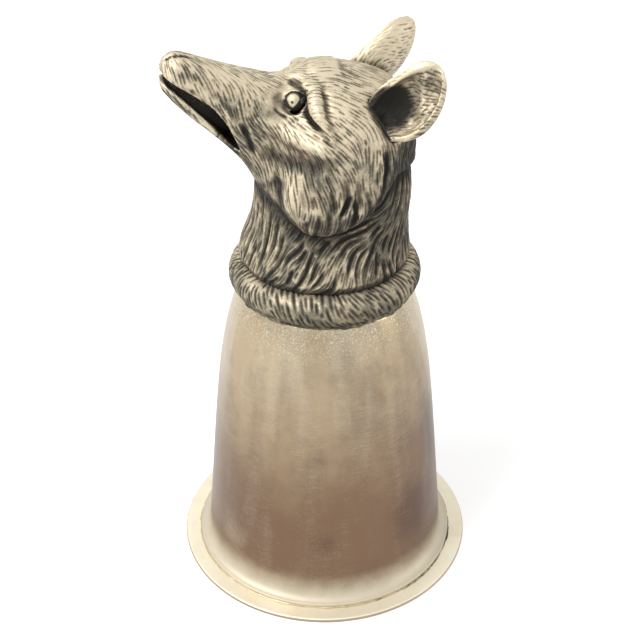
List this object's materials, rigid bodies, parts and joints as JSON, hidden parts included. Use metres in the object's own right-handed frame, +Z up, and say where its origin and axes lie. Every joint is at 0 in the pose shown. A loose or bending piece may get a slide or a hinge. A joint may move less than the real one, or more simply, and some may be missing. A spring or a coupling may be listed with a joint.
{
  "type": "stirrup cup",
  "caption": "Tapered metal drinking cup that stands on its mouth, with a cast fox head, furred neck and rolled collar on its closed end.",
  "frame": {"origin": "centre of the mouth's plane, on the table that the lip rests on", "axes": "+Z up along the bowl's axis, -Y the way the fox looks, +X to the fox's left"},
  "size_m": [0.076, 0.076, 0.1398],
  "materials": {
    "plated_sheet": "worn silver plate with brown tarnish",
    "plated_ring": "bright silver plate",
    "cast_metal": "antiqued casting, dark in the hollows and rubbed bright on the ridges",
    "solder": "dull and stained"
  },
  "bodies": {
    "root": {"lip_ring": "plated_ring", "lip_solder": "solder", "bowl": "plated_sheet", "collar_solder": "solder", "collar_roll": "cast_metal", "neck_casting": "cast_metal", "head_solder": "solder", "head_casting": "cast_metal", "left_eye": "cast_metal", "right_eye": "cast_metal", "left_ear": "cast_metal", "right_ear": "cast_metal"}
  },
  "joints": []
}
